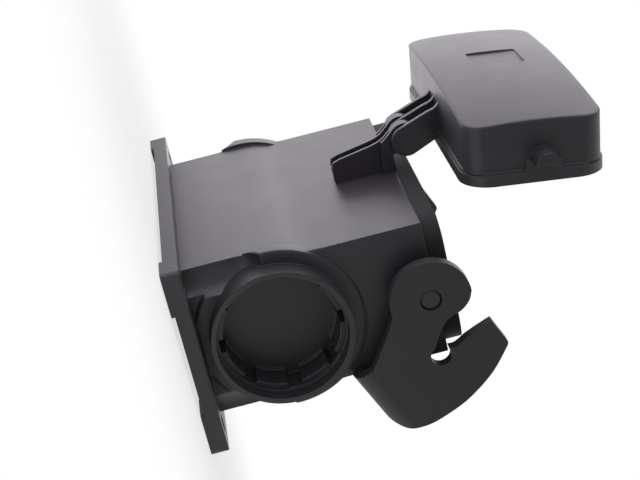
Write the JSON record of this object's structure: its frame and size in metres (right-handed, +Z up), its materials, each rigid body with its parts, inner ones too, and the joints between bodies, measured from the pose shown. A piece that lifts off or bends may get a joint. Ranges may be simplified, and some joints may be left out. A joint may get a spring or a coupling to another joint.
{
  "type": "rectangular industrial connector surface-mount housing",
  "caption": "Surface-mount housing of a rectangular industrial plug connector: flanged box with cable entries at both ends, a swinging locking lever and a hinged protective cover.",
  "frame": {"origin": "middle of the mounting surface under the flange's corner pads", "axes": "+X along the housing's length, from one cable entry to the other; +Y to the cover's hinge; +Z up from the mounting surface to the opening"},
  "size_m": [0.117, 0.0845, 0.1303],
  "materials": {
    "polyamide_body": "fine spark-eroded texture",
    "nitrile_seal": "matte",
    "polyamide_lever": "fine spark-eroded texture",
    "polyamide_bracket": "satin",
    "polyamide_cover": "fine spark-eroded texture"
  },
  "bodies": {
    "housing": {"housing_body": "polyamide_body", "rim_seal": "nitrile_seal", "hinge_bracket": "polyamide_bracket"},
    "lever": {"locking_lever": "polyamide_lever"},
    "cover": {"protective_cover": "polyamide_cover"}
  },
  "joints": [
    {"name": "lever_pivot", "type": "hinge", "parent": "housing", "child": "lever", "pos_m": [0, 0, 0.071], "axis": [1, 0, 0], "range_deg": [-65, 0]},
    {"name": "cover_hinge", "type": "hinge", "parent": "housing", "child": "cover", "pos_m": [0, 0.03, 0.0786], "axis": [1, 0, 0], "range_deg": [-10, 82]}
  ]
}
